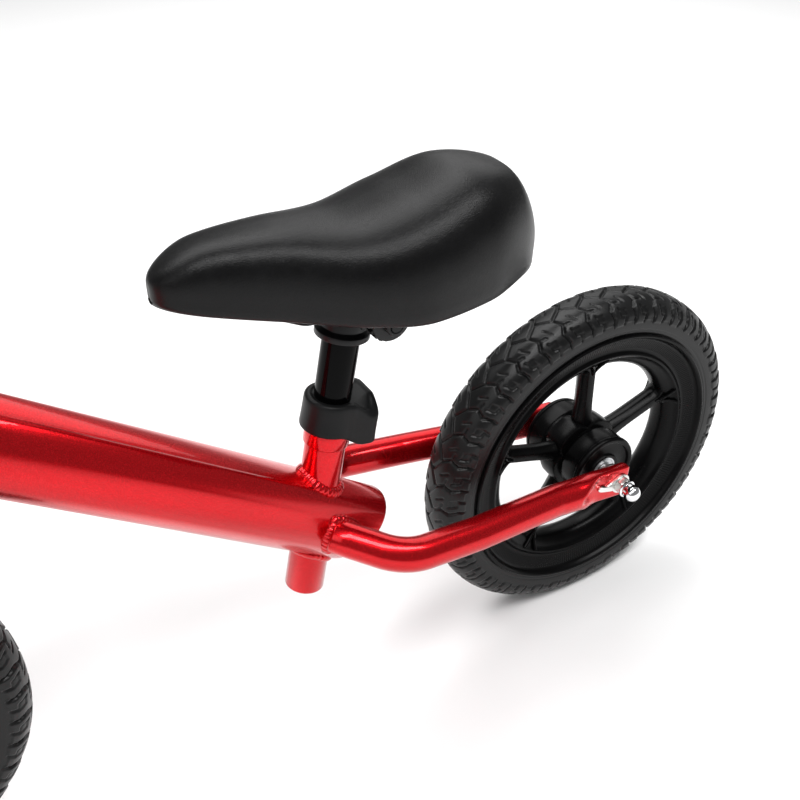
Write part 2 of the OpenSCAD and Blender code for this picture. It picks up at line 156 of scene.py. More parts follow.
def mat_leather():
    """imitation leather: fine pebble grain, long soft creases, soft sheen"""
    m, nt, b = _nodes("saddle_leather")
    v = _coords(nt)
    vor = _n(nt, "ShaderNodeTexVoronoi")
    vor.feature = "DISTANCE_TO_EDGE"
    vor.inputs["Scale"].default_value = 900
    warp = _noise(nt, v, 300, 2)
    mixv = _n(nt, "ShaderNodeMix")
    mixv.data_type = "VECTOR"
    mixv.inputs["Factor"].default_value = 0.0025
    nt.links.new(v, mixv.inputs[4])
    nt.links.new(warp.outputs["Color"], mixv.inputs[5])
    nt.links.new(mixv.outputs[1], vor.inputs["Vector"])
    fine = _noise(nt, v, 1500, 3)
    crease = _noise(nt, v, 45, 4, 0.6)
    col = _ramp(nt, crease.outputs["Fac"], [(0.3, (0.0024, 0.0024, 0.0026)), (0.7, (0.0052, 0.0052, 0.0055))])
    nt.links.new(col.outputs["Color"], b.inputs["Base Color"])
    nt.links.new(_map(nt, crease.outputs["Fac"], 0.26, 0.38), b.inputs["Roughness"])
    b.inputs["Specular IOR Level"].default_value = 0.17
    b.inputs["Sheen Weight"].default_value = 0.01
    n1 = _bump(nt, vor.outputs["Distance"], 0.35, 0.0004)
    n2 = _bump(nt, fine.outputs["Fac"], 0.15, 0.0002, n1)
    n3 = _bump(nt, crease.outputs["Fac"], 0.10, 0.0015, n2)
    nt.links.new(n3, b.inputs["Normal"])
    return m


def mat_plain(name, c_lo, c_hi, r_lo, r_hi, spec=0.5, grain=700, bump=0.15, bd=0.0003, metallic=0.0, coat=0.0, coat_r=0.05, big=30):
    """moulded or coated surface: slight colour variation, grain and roughness from noise"""
    m, nt, b = _nodes(name)
    v = _coords(nt)
    g = _noise(nt, v, grain, 3, 0.6)
    w = _noise(nt, v, big, 3, 0.55)
    col = _ramp(nt, w.outputs["Fac"], [(0.3, c_lo), (0.7, c_hi)])
    nt.links.new(col.outputs["Color"], b.inputs["Base Color"])
    nt.links.new(_map(nt, w.outputs["Fac"], r_lo, r_hi), b.inputs["Roughness"])
    b.inputs["Metallic"].default_value = metallic
    b.inputs["Specular IOR Level"].default_value = spec
    b.inputs["Coat Weight"].default_value = coat
    b.inputs["Coat Roughness"].default_value = coat_r
    nt.links.new(_bump(nt, g.outputs["Fac"], bump, bd), b.inputs["Normal"])
    return m


def mat_tyre():
    """foamed rubber: matt, fine pores; painted shade darkens the grooves and a painted highlight lightens the raised
    edges
    """
    m, nt, b = _nodes("foam_tyre")
    v = _coords(nt)
    pores = _n(nt, "ShaderNodeTexVoronoi")
    pores.inputs["Scale"].default_value = 1500
    nt.links.new(v, pores.inputs["Vector"])
    w = _noise(nt, v, 60, 4, 0.6)
    fine = _noise(nt, v, 900, 2)
    col = _ramp(nt, w.outputs["Fac"], [(0.25, (0.0030, 0.0031, 0.0032)), (0.75, (0.0065, 0.0066, 0.0068))])
    # painted shade and highlight: the base colour is multiplied by 0.55 in the hollow grooves (low pointiness) and by
    # 1.6 on the raised edges
    geo = _n(nt, "ShaderNodeNewGeometry")
    edge = _ramp(nt, geo.outputs["Pointiness"], [(0.46, (0.55, 0.55, 0.55)), (0.5, (1, 1, 1)), (0.56, (1.6, 1.6, 1.6))])
    mix = _n(nt, "ShaderNodeMix")
    mix.data_type = "RGBA"
    mix.blend_type = "MULTIPLY"
    mix.inputs["Factor"].default_value = 1.0
    nt.links.new(col.outputs["Color"], mix.inputs[6])
    nt.links.new(edge.outputs["Color"], mix.inputs[7])
    nt.links.new(mix.outputs[2], b.inputs["Base Color"])
    nt.links.new(_map(nt, w.outputs["Fac"], 0.30, 0.42), b.inputs["Roughness"])
    b.inputs["Specular IOR Level"].default_value = 0.26
    n1 = _bump(nt, pores.outputs["Distance"], 0.12, 0.0003)
    n2 = _bump(nt, fine.outputs["Fac"], 0.12, 0.0002, n1)
    nt.links.new(n2, b.inputs["Normal"])
    return m


def mat_metal(name, col, rough, scratch=0.10, var=0.12):
    """plated or polished metal with fine turning marks and smudges"""
    m, nt, b = _nodes(name)
    v = _coords(nt)
    w = _noise(nt, v, 120, 4, 0.6)
    f = _noise(nt, v, 1800, 2)
    c = tuple(col)
    d = tuple(x * (1 - var) for x in col)
    r = _ramp(nt, w.outputs["Fac"], [(0.3, d), (0.7, c)])
    nt.links.new(r.outputs["Color"], b.inputs["Base Color"])
    b.inputs["Metallic"].default_value = 1.0
    nt.links.new(_map(nt, w.outputs["Fac"], rough * 0.8, rough * 1.3), b.inputs["Roughness"])
    nt.links.new(_bump(nt, f.outputs["Fac"], scratch, 0.0002), b.inputs["Normal"])
    return m


M = {
    "frame_paint": mat_candy(),
    "clamp_black": mat_plain("satin_black", (0.003, 0.003, 0.0032), (0.006, 0.006, 0.0064), 0.30, 0.42, spec=0.22, coat=0.06, coat_r=0.2),
    "rubber_boot": mat_plain("soft_rubber", (0.0050, 0.0052, 0.0055), (0.0095, 0.0098, 0.0102), 0.34, 0.46, spec=0.16, grain=1100, bump=0.2),
    "grip_rubber": mat_plain("grip_rubber", (0.006, 0.006, 0.0065), (0.010, 0.010, 0.0105), 0.5, 0.62, spec=0.22, grain=1300, bump=0.3),
    "zinc": mat_metal("zinc_plate", (0.78, 0.78, 0.76), 0.30),
    "bearing_steel": mat_metal("bearing_steel", (0.55, 0.56, 0.58), 0.28),
    "chrome_cap": mat_metal("chrome", (0.90, 0.91, 0.93), 0.10, 0.03, 0.05),
    "tyre_foam": mat_tyre(),
    "rim_plastic": mat_plain("rim_plastic", (0.0014, 0.0014, 0.0015), (0.0028, 0.0028, 0.003), 0.22, 0.34, spec=0.09, grain=500, bump=0.06),
    "black_paint": mat_plain("gloss_black", (0.0008, 0.0008, 0.0009), (0.0016, 0.0016, 0.0018), 0.10, 0.17, spec=0.05, grain=300, bump=0.04, coat=0.02, coat_r=0.05),
    "base_plastic": mat_plain("base_plastic", (0.005, 0.005, 0.0055), (0.008, 0.008, 0.0085), 0.48, 0.60, spec=0.2, grain=900, bump=0.3),
    "saddle_cover": mat_leather(),
}
SLOT_OF = {s["node"]: s["material_slot"] for s in frame["record"]["subparts"]}
for name, ob in frame["nodes"].items():
    mat = M[SLOT_OF[name]]
    if not ob.data.materials:
        ob.data.materials.append(mat)
    for ms in ob.material_slots:
        ms.material = mat


# ------------------------------------------------------------------ mesh helpers
def make(name, verts, faces, slot, body, replaces=(), smooth=True, sharp=None, recalc=True):
    """a mesh in row-frame metres from millimetre points measured from the rear axle"""
    me = bpy.data.meshes.new(name)
    me.from_pydata([W(v) for v in verts], [], faces)
    me.validate()
    ob = bpy.data.objects.new(name, me)
    bpy.context.scene.collection.objects.link(ob)
    if recalc:
        bm = bmesh.new()
        bm.from_mesh(me)
        bmesh.ops.remove_doubles(bm, verts=bm.verts, dist=1e-6)
        bmesh.ops.recalc_face_normals(bm, faces=bm.faces)
        bm.to_mesh(me)
        bm.free()
    for p in me.polygons:
        p.use_smooth = smooth
    if smooth and sharp is not None:
        me.set_sharp_from_angle(angle=math.radians(sharp))
    me.materials.append(M[slot])
    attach(ob, body)
    if replaces:
        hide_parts(*replaces)
    return ob


def arc_path(P, R, n=14, ends=None):
    """points and directions along the polyline P rounded with radius R (or one radius per corner)"""
    P = [np.array(p, float) for p in P]
    out = []
    Rs = R if isinstance(R, (list, tuple)) else [R] * (len(P) - 2)
    prev = P[0]
    out.append((P[0], unit(P[1] - P[0])))
    for i in range(1, len(P) - 1):
        a, b = unit(P[i] - P[i - 1]), unit(P[i + 1] - P[i])
        ang = math.acos(max(-1, min(1, float(a @ b))))
        m = unit(b - (a @ b) * a)
        r = Rs[i - 1]
        st = P[i] - a * r * math.tan(ang / 2)
        L = np.linalg.norm(st - prev)
        for k in range(1, max(2, int(L / 12))):
            out.append((prev + (st - prev) * k / max(2, int(L / 12)), a))
        c = st + m * r
        for k in range(n + 1):
            t = ang * k / n
            out.append((c + r * (a * math.sin(t) - m * math.cos(t)), a * math.cos(t) + m * math.sin(t)))
        prev = out[-1][0]
    e = P[-1]
    d = unit(P[-1] - P[-2])
    L = np.linalg.norm(e - prev)
    k2 = max(2, int(L / 12))
    for k in range(1, k2):
        out.append((prev + (e - prev) * k / k2, d))
    out.append((e, d))
    return out


def box_pow(v, q):
    return math.copysign(abs(v) ** (2 / q), v)


def sweep_mesh(stations, ref, sides=40, cap_start=True, cap_end=True):
    """stations: (place, direction, half along up, half along side, power)"""
    verts, faces = [], []
    ref = np.array(ref, float)
    for (c, t, a, b, q) in stations:
        side = unit(np.cross(t, ref))
        up = np.cross(side, t)
        for j in range(sides):
            f = 2 * math.pi * j / sides
            verts.append(tuple(c + side * b * box_pow(math.cos(f), q) + up * a * box_pow(math.sin(f), q)))
    n = len(stations)
    for i in range(n - 1):
        for j in range(sides):
            k = (j + 1) % sides
            faces.append((i * sides + j, i * sides + k, (i + 1) * sides + k, (i + 1) * sides + j))
    if cap_start:
        faces.append(tuple(range(sides - 1, -1, -1)))
    if cap_end:
        faces.append(tuple((n - 1) * sides + j for j in range(sides)))
    return verts, faces


def revolve(profile, segs=128, centre=(0, 0, 0), axis="y", closed=True):
    """profile of (radius, along) turned about the axis through centre"""
    verts, faces = [], []
    n = len(profile)
    for s in range(segs):
        a = 2 * math.pi * s / segs
        for r, h in profile:
            if axis == "y":
                verts.append((centre[0] + r * math.cos(a), centre[1] + h, centre[2] + r * math.sin(a)))
            else:
                verts.append((centre[0] + r * math.cos(a), centre[1] + r * math.sin(a), centre[2] + h))
    m = n if closed else n - 1
    for s in range(segs):
        t = (s + 1) % segs
        for i in range(m):
            j = (i + 1) % n
            faces.append((s * n + i, s * n + j, t * n + j, t * n + i))
    return verts, faces


def frame_to(origin, x, z):
    """matrix (numpy) whose columns are x, y, z; maps local millimetres to the bike"""
    x, z = unit(x), unit(z)
    y = np.cross(z, x)
    return np.stack([x, y, z], 1), np.array(origin, float)


def place(verts, fr):
    A, o = fr
    return [tuple(A @ np.array(v, float) + o) for v in verts]


def join_lists(*parts):
    V, F = [], []
    for v, f in parts:
        o = len(V)
        V += list(v)
        F += [tuple(i + o for i in g) for g in f]
    return V, F


def flip_y(part):
    v, f = part
    return [(p[0], -p[1], p[2]) for p in v], [tuple(reversed(g)) for g in f]


SL = math.radians(10.8)
MS = math.radians(35.4)
J = np.array([243, 0, 37.2])
SEAT = frame_to(J, (math.cos(SL), 0, math.sin(SL)), (-math.sin(SL), 0, math.cos(SL)))
MAIN = frame_to(J, (math.sin(MS), 0, -math.cos(MS)), (math.cos(MS), 0, math.sin(MS)))
HA = math.radians(70)
HEAD = frame_to((575, 0, 0), (math.sin(HA), 0, math.cos(HA)), (-math.cos(HA), 0, math.sin(HA)))


# ------------------------------------------------------------------ mesh by arrays
def grid_faces(n, m, wrap_n=True, wrap_m=True):
    """quads over n rows of m points"""
    i = np.arange(n if wrap_n else n - 1)[:, None]
    j = np.arange(m if wrap_m else m - 1)[None, :]
    a = i * m + j
    b = i * m + (j + 1) % m
    c = ((i + 1) % n) * m + (j + 1) % m
    d = ((i + 1) % n) * m + j
    return np.stack([a, b, c, d], -1).reshape(-1, 4)


def dist_to(lines, U, V):
    """distance from each point (U, V) to the nearest of the polylines"""
    out = np.full(U.shape, 1e9)
    for ln in lines:
        for (a, b) in zip(ln[:-1], ln[1:]):
            ax, ay = a
            dx, dy = b[0] - ax, b[1] - ay
            L = dx * dx + dy * dy
            t = np.clip(((U - ax) * dx + (V - ay) * dy) / L, 0, 1)
            out = np.minimum(out, np.hypot(U - ax - t * dx, V - ay - t * dy))
    return out


def sstep(x):
    x = np.clip(x, 0, 1)
    return x * x * (3 - 2 * x)


# ------------------------------------------------------------------ tyres
PITCH_N, PER = 40, 28
PITCH = 2 * math.pi * 145 / PITCH_N


def tyre_profile():
    """points (radius, half width) from the centre of the tread out to the rim, evenly spaced"""
    key = [(145.0, 0), (144.95, 3.5), (144.5, 7), (143.6, 10.2), (142.1, 13.2), (139.9, 16.2), (136.9, 18.9), (133.2, 20.8),
           (129, 21.75), (124.5, 21.95), (120, 21.75), (117.2, 21.3), (116.2, 20.6)]
    P = np.array(key, float)
    s = np.concatenate([[0], np.cumsum(np.hypot(*np.diff(P, axis=0).T))])
    q = np.linspace(0, s[-1], 56)
    return np.stack([np.interp(q, s, P[:, 0]), np.interp(q, s, P[:, 1])], 1), q


def tyre_arrays():
    prof, q = tyre_profile()
    for _ in range(3):     # round the corners of the outline
        prof[1:-1] = (prof[:-2] + 2 * prof[1:-1] + prof[2:]) / 4
    prof[:, 0] += 145.0 - prof[0, 0]
    full = np.concatenate([prof[::-1] * [1, -1], prof[1:]])
    v = np.concatenate([-q[::-1], q[1:]])
    # outward normals of the profile
    t = np.gradient(full, axis=0)
    nrm = np.stack([t[:, 1], -t[:, 0]], 1)
    nrm /= np.linalg.norm(nrm, axis=1)[:, None]
    # one pitch of the tread
    u = np.arange(PER) / PER * PITCH
    U, V = np.meshgrid(u, v, indexing="ij")
    p = PITCH

    def tile(lines):
        return [[(x + k * p, y) for x, y in ln] for ln in lines for k in (-1, 0, 1)]

    def side(sgn, sh):
        """the grooves of one half of the tread; sh moves them round by part of a pitch"""
        def mv(lines):
            return tile([[(x + sh, sgn * y) for x, y in ln] for ln in lines])
        main = mv([[(0, 4.0), (4.8, 11.5), (0.6, 18.5), (3.4, 26.5)]])
        sipe = mv([[(4.8, 11.5), (10.5, 12.6)], [(12.2, 7.0), (15.6, 12.5)]])
        ell = mv([[(8.2, 17.6), (9.8, 24.5), (15.6, 25.3)]])
        notch = mv([[(3.4, 25.5), (2.2, 31.5)], [(14.6, 26.5), (13.6, 31.0)]])
        return main, sipe, ell, notch

    depth = np.zeros_like(U)
    zig = tile([[(0, 4.0), (p / 2, -4.0), (p, 4.0)]])
    depth = np.maximum(depth, 1.5 * (1 - sstep((dist_to(zig, U, V) - 0.5) / 0.9)))
    for sgn, sh in ((1, 0.0), (-1, p / 2)):
        main, sipe, ell, notch = side(sgn, sh)
        depth = np.maximum(depth, 1.7 * (1 - sstep((dist_to(main, U, V) - 0.55) / 0.95)))
        depth = np.maximum(depth, 1.1 * (1 - sstep((dist_to(sipe, U, V) - 0.35) / 0.8)))
        depth = np.maximum(depth, 1.2 * (1 - sstep((dist_to(ell, U, V) - 0.4) / 0.8)))
        depth = np.maximum(depth, 1.3 * (1 - sstep((dist_to(notch, U, V) - 0.7) / 0.9)))
        # raised shoulder steps: a parallelogram a little lower than the block round it
        x = (U - sh - 8.6 - (sgn * V - 17.6) * 0.22) % p
        inset = sstep((x - 0.2) / 0.6) * sstep((6.4 - x) / 0.6) * sstep((sgn * V - 18.2) / 0.6) * sstep((25.0 - sgn * V) / 0.6)
        depth = np.maximum(depth, 0.75 * inset)
        # blocks slope down a little towards the next groove, which scallops the outline
        ph = ((U - sh - 3.4) % p) / p
        sl = 0.9 * ph ** 3 * sstep((sgn * V - 7) / 9) * sstep((32 - sgn * V) / 4)
        depth = depth + sl
        # step where the tread ends and the smooth side begins, and one fine ring on the side
        edge = 30.6 + 1.1 * np.sign(np.sin(2 * math.pi * (U - sh) / p))
        depth = np.maximum(depth, 0.7 * sstep((sgn * V - edge) / 0.7) * (sgn * V > 0))
        depth = depth + 0.45 * (np.abs(sgn * V - 39.2) < 0.65) * (1.0)
    n = PITCH_N * PER
    D = np.tile(depth, (PITCH_N, 1))
    R = full[None, :, 0] - D * nrm[None, :, 0]
    Y = full[None, :, 1] - D * nrm[None, :, 1]
    a = 2 * math.pi * np.arange(n) / n
    # inner skin closes the tube, seated on the rim
    inner = np.array([(115.6, 20.0), (113.4, 16.0), (112.6, 14.6), (112.6, 0), (112.6, -14.6), (113.4, -16.0), (115.6, -20.0)])
    Rf = np.concatenate([R, np.tile(inner[:, 0], (n, 1))], 1)
    Yf = np.concatenate([Y, np.tile(inner[:, 1], (n, 1))], 1)
    X = Rf * np.cos(a)[:, None]
    Z = Rf * np.sin(a)[:, None]
    return np.stack([X, Yf, Z], -1).reshape(-1, 3), grid_faces(n, Rf.shape[1])


TYRE_V, TYRE_F = tyre_arrays()
for nm, cx, body in (("rear_tyre", 0.0, "rear_wheel"), ("front_tyre", WB, "front_wheel")):
    make(nm + "_tread", TYRE_V + [cx, 0, 0], TYRE_F.tolist(), "tyre_foam", body, (nm,), sharp=None, recalc=False)


# ------------------------------------------------------------------ rims
TURN = math.radians(17)


def rounded(pts, r=0.8, k=3):
    """polygon (2-D points) with each corner rounded"""
    out = []
    n = len(pts)
    for i in range(n):
        a, b, c = (np.array(pts[j], float) for j in (i - 1, i, (i + 1) % n))
        d1, d2 = a - b, c - b
        l1, l2 = np.linalg.norm(d1), np.linalg.norm(d2)
        q = min(r, l1 * 0.45, l2 * 0.45)
        p1, p2 = b + d1 / l1 * q, b + d2 / l2 * q
        for t in np.linspace(0, 1, k):
            out.append(tuple((1 - t) ** 2 * p1 + 2 * t * (1 - t) * b + t * t * p2))
    return out


def rim_parts():
    parts = []
    half = [(83.3, 0), (83.5, 3.0), (84.2, 6.0), (85.8, 8.8), (88.0, 10.8), (90.6, 12.2), (92.4, 13.2), (93.4, 14.6), (94.4, 15.7),
            (95.6, 16.0), (96.8, 15.5), (97.6, 14.4), (98.6, 13.9), (100.2, 14.0), (110.2, 17.2), (111.4, 18.0), (112.2, 19.6),
            (112.9, 21.4), (113.9, 22.4), (115.0, 22.6), (115.9, 22.2), (116.3, 21.2), (116.2, 19.5), (114.5, 15.4), (112.5, 14.8)]
    prof = half + [(112.5, -14.8)] + [(r, -y) for r, y in reversed(half[1:-1])]
    parts.append(revolve(prof, 240))
    # fine ribs in the dish
    V, F = [], []
    N = 288
    for s in (1, -1):
        for k in range(N):
            a = 2 * math.pi * k / N
            e = np.array([math.cos(a), 0, math.sin(a)])
            t = np.array([-math.sin(a), 0, math.cos(a)])
            o = len(V)
            for r in (101.0, 109.8):
                y = 14.0 + (r - 100.2) * 0.32
                w = 0.55 * r / 105
                V += [tuple(e * r + t * w + [0, s * (y - 0.25), 0]), tuple(e * r - t * w + [0, s * (y - 0.25), 0]),
                      tuple(e * (r - 0.1 if r < 105 else r) + [0, s * (y + 0.22), 0])]
            f = [(0, 3, 5, 2), (1, 2, 5, 4), (0, 2, 1), (3, 4, 5), (0, 1, 4, 3)]
            F += [tuple(o + i for i in g) for g in f]
    parts.append((V, F))
    # hub barrel
    hub_half = [(26.0, 0), (26.0, 11.0), (27.0, 12.4), (28.6, 14.2), (29.0, 15.6), (28.9, 28.0), (28.8, 29.2), (29.4, 30.0), (29.5, 31.6),
                (29.0, 33.0), (27.9, 33.9), (26.2, 34.0), (25.1, 33.5), (24.6, 32.4), (24.3, 31.2), (23.4, 30.9), (15.0, 30.9),
                (14.2, 31.3), (13.9, 32.6), (13.4, 33.5), (11.4, 33.5), (11.05, 33.0), (11.05, 26.0), (7, 26.0), (7, 0)]
    prof = hub_half[:-1] + [(r, -y) for r, y in reversed(hub_half[1:-1])]
    parts.append(revolve(prof, 128))
    # middle flange with a rounded petal between each pair of spokes
    V, F = [], []
    n = 240
    rows = [(-10.2, -1.6), (-9.6, -0.5), (-8.4, 0.0), (-3, 0.35), (3, 0.35), (8.4, 0.0), (9.6, -0.5), (10.2, -1.6)]
    for y, g in rows:
        for k in range(n):
            a = 2 * math.pi * k / n
            ph = (a - TURN) / (2 * math.pi / 5) % 1.0
            c = 1 - abs(2 * ph - 1)                # 0 at a spoke, 1 between two
            r = 27.0 + 5.6 * (1 - (1 - min(1, c * 1.35)) ** 2.2) + g
            V.append((r * math.cos(a), y, r * math.sin(a)))
    for i in range(len(rows) - 1):
        for k in range(n):
            F.append((i * n + k, i * n + (k + 1) % n, (i + 1) * n + (k + 1) % n, (i + 1) * n + k))
    F.append(tuple(range(n - 1, -1, -1)))
    F.append(tuple((len(rows) - 1) * n + k for k in range(n)))
    parts.append((V, F))
    # spokes: bevelled bars that flare into the rim and the hub
    st = []
    for r in np.concatenate([np.linspace(21, 36, 8), np.linspace(40, 74, 7), np.linspace(76, 92, 13)]):
        w = 6.4 + 1.9 * (1 - sstep((r - 24) / 30))
        w += 3.2 * max(0.0, 1 - math.sqrt(max(0, 1 - (max(0, 33 - r) / 8.0) ** 2))) if r < 33 else 0
        x = max(0.0, (r - 77.5) / 6.5)
        w += 6.0 * (1 - math.sqrt(max(0, 1 - min(1, x) ** 2))) + max(0, r - 84) * 0.7
        h = 7.6 + 1.2 * sstep((r - 76) / 12) + 0.8 * (1 - sstep((r - 24) / 20))
        st.append((r, w, h))
    for i in range(5):
        a = TURN + 2 * math.pi * i / 5
        e = np.array([math.cos(a), 0, math.sin(a)])
        t = np.array([-math.sin(a), 0, math.cos(a)])
        V, F = [], []
        for r, w, h in st:
            sec = rounded([(w, -0.28 * h), (w, 0.28 * h), (0.52 * w, h), (-0.52 * w, h), (-w, 0.28 * h), (-w, -0.28 * h),
                           (-0.52 * w, -h), (0.52 * w, -h)], 1.0, 3)
            for (x, y) in sec:
                V.append(tuple(e * r + t * x + np.array([0, y, 0])))
        m = len(sec)
        for j in range(len(st) - 1):
            for k in range(m):
                F.append((j * m + k, j * m + (k + 1) % m, (j + 1) * m + (k + 1) % m, (j + 1) * m + k))
        F.append(tuple(range(m - 1, -1, -1)))
        F.append(tuple((len(st) - 1) * m + k for k in range(m)))
        parts.append((V, F))
        # ridge that splits into a Y where the spoke meets the rolled edge
        for s in (1, -1):
            for b in (-1, 1):
                P = []
                for q in np.linspace(0, 1, 9):
                    r = 78 + 15.5 * q
                    x = b * (0.2 + 7.2 * q ** 1.8)
                    y = s * (8.3 + 6.6 * q ** 1.4)
                    P.append((e * r + t * x + np.array([0, y, 0]), q))
                S = [(c, unit(e + t * b * 0.4 * q + np.array([0, s * 0.5, 0])), 0.9 + 0.5 * q, 1.0 + 0.7 * q, 2.0) for c, q in P]
                parts.append(sweep_mesh(S, t, 10))
    return join_lists(*parts)


RIM = rim_parts()
for nm, cx, body in (("rear_rim", 0.0, "rear_wheel"), ("front_rim", WB, "front_wheel")):
    make(nm + "_moulded", [(x + cx, y, z) for x, y, z in RIM[0]], RIM[1], "rim_plastic", body, (nm,), sharp=32)


# ------------------------------------------------------------------ pressed tube ends, stays and fork legs
def pressed_sweep(path, c, d, r, ref, out_y, sides=64, outer=2.5, inner=9.5, blunt=0.0):
    """round tube along path; its end is pressed in on the outer side round the axle at c (d points
    up the tube) and cut off square. blunt rounds the other end over"""
    st = []
    if blunt:
        p0, t0 = path[0]
        for f in (4, 25, 50, 75):
            f = math.radians(f)
            st.append((p0 + t0 * blunt * (1 - math.sin(f)), t0, r - blunt * (1 - math.cos(math.pi / 2 - f)) * 1.0, 0.0))
        st = [(p0 + t0 * blunt * (1 - math.sin(math.radians(90 - f))), t0, r - blunt * (1 - math.cos(math.radians(90 - f))), 0.0)
              for f in (0, 18, 36, 54, 72)]
        path = [(p, t) for p, t in path if (p - p0) @ t0 >= blunt or (p - p0) @ (p - p0) > blunt ** 2]
    st += [(p, t, r, 0.0) for p, t in path]
    for x in np.linspace(47, 19, 22):
        q = (47 - x) / 28.0
        e = 0.5 - 0.5 * math.cos(math.pi * q)
        st.append((c + d * x, -d, r + 0.8 * e, q))
    for x in (14, 8, 2, -3, -6.4):
        st.append((c + d * x, -d, r + 0.8, 1.0))
    st += [(c - d * 7.4, -d, r + 0.5, 1.0), (c - d * 7.9, -d, r - 0.1, 1.0), (c - d * 8.0, -d, r - 0.8, 1.0)]
    V, F = [], []
    ref = np.array(ref, float)
    for (p, t, a, q) in st:
        side = unit(np.cross(t, ref))
        if side[1] * out_y < 0:
            side = -side
        up = np.cross(side, t)
        e = 0.5 - 0.5 * math.cos(math.pi * q)
        b = a if q == 0 else (r + (outer - r) * e)
        bi = a if q == 0 else (r + (inner - r) * e)
        if q == 1.0:
            b, bi = b + (a - r - 0.8), bi + (a - r - 0.8)
        for j in range(sides):
            f = 2 * math.pi * j / sides
            cf, sf = math.cos(f), math.sin(f)
            if cf >= 0:
                k = 2 + 4.5 * e
                x, y = b * abs(cf) ** (2 / k), a * math.copysign(abs(sf) ** (2 / k), sf)
            else:
                k = 2 + 1.3 * e
                x, y = -bi * abs(cf) ** (2 / k), a * math.copysign(abs(sf) ** (2 / k), sf)
            if 0 < q < 1 and x > 0:
                # the die pushes the middle of the outer wall in before the edges fold
                w = (0.16 + 0.55 * q) * a
                dent = (b - outer) * 0.95 * sstep(q * 2.0) * math.exp(-(y / w) ** 4)
                x = max(x - dent, min(x, outer))
            V.append(tuple(p + side * x + up * y))
    n = len(st)
    for i in range(n - 1):
        for j in range(sides):
            k = (j + 1) % sides
            F.append((i * sides + j, i * sides + k, (i + 1) * sides + k, (i + 1) * sides + j))
    F.append(tuple(range(sides - 1, -1, -1)))
    F.append(tuple((n - 1) * sides + j for j in range(sides)))
    return V, F


def cut(ob, *cutters):
    """subtracts closed meshes from ob and throws them away"""
    for cv, cf in cutters:
        me = bpy.data.meshes.new("cutter")
        me.from_pydata([W(v) for v in cv], [], cf)
        co = bpy.data.objects.new("cutter", me)
        bpy.context.scene.collection.objects.link(co)
        bm = bmesh.new()
        bm.from_mesh(me)
        bmesh.ops.recalc_face_normals(bm, faces=bm.faces)
        bm.to_mesh(me)
        bm.free()
        md = ob.modifiers.new("cut", "BOOLEAN")
        md.object = co
        md.operation = "DIFFERENCE"
        md.solver = "EXACT"
        dg = bpy.context.evaluated_depsgraph_get()
        new = bpy.data.meshes.new_from_object(ob.evaluated_get(dg))
        ob.modifiers.remove(md)
        old = ob.data
        ob.data = new
        bpy.data.meshes.remove(old)
        bpy.data.objects.remove(co)
        bpy.data.meshes.remove(me)
    return ob


def resharp(ob, deg=40):
    for p in ob.data.polygons:
        p.use_smooth = True
    ob.data.set_sharp_from_angle(angle=math.radians(deg))
    return ob


def rod_between(a, b, r, sides=64):
    a, b = np.array(a, float), np.array(b, float)
    d = unit(b - a)
    ref = (0, 1, 0) if abs(d[1]) < 0.9 else (1, 0, 0)
    return sweep_mesh([(a, d, r, r, 2), (b, d, r, r, 2)], ref, sides)


def slot_cutter(c, d):
    """what lets the axle slide in from the tip: a capsule-ended slot"""
    u = np.array([-d[2], 0, d[0]])
    P = []
    for a in np.linspace(-90, 90, 13):
        a = math.radians(a)
        P.append(c + d * (4.25 * math.cos(a)) + u * 4.25 * math.sin(a))
    P += [c - d * 30 + u * 4.25, c - d * 30 - u * 4.25]
    n = len(P)
    V = [tuple(p + np.array([0, s * 12, 0])) for s in (-1, 1) for p in P]
    F = [tuple(range(n - 1, -1, -1)), tuple(range(n, 2 * n))]
    for k in range(n):
        F.append((k, (k + 1) % n, n + (k + 1) % n, n + k))
    return V, F


STAY_D = unit([46, 0, 5])
LEG_D = np.array([math.cos(math.radians(117.2)), 0, math.sin(math.radians(117.2))])
MAIN_D = np.array([math.cos(MS), 0, math.sin(MS)])
SEAT_D = np.array([-math.sin(SL), 0, math.cos(SL)])
HEAD_D = np.array([-math.cos(HA), 0, math.sin(HA)])
HEAD_B = np.array([575.0, 0, 0])


def on_head(s):
    return HEAD_B + HEAD_D * s


STAY_A = np.array([243, 25.6, 37.2])
STAY_B = np.array([203, 60.5, 23.2])
STAY_C = np.array([140, 57.5, 15])
for s, nm in ((1, "left"), (-1, "right")):
    m = np.array([1, s, 1])
    c = np.array([0, 50.0, 0]) * m
    P = [STAY_A * m, STAY_B * m, STAY_C * m, c + STAY_D * 64, c + STAY_D * 47]
    path = arc_path(P, 45, 20)
    st = make(nm + "_stay_tube", *pressed_sweep(path, c, STAY_D, 12.7, (0, 0, 1), s, blunt=3.0), "frame_paint", "frame", (nm + "_stay",))
    cut(st, rod_between(J - MAIN_D * 32, J + MAIN_D * 200, 28.9), slot_cutter(c, STAY_D))
    resharp(st)
    c = np.array([WB, 50.0, 0]) * m
    P = [(on_head(160) - [0, 4, 0]) * m, np.array([526, 41, 143]) * m, c + LEG_D * 64, c + LEG_D * 47]
    path = arc_path(P, 22, 18)
    lg = make(nm + "_leg_tube", *pressed_sweep(path, c, LEG_D, 11.0, (1, 0, 0), s), "frame_paint", "fork", (nm + "_fork_leg",))
    cut(lg, rod_between(on_head(110), on_head(220), 12.5), slot_cutter(c, LEG_D))
    resharp(lg)


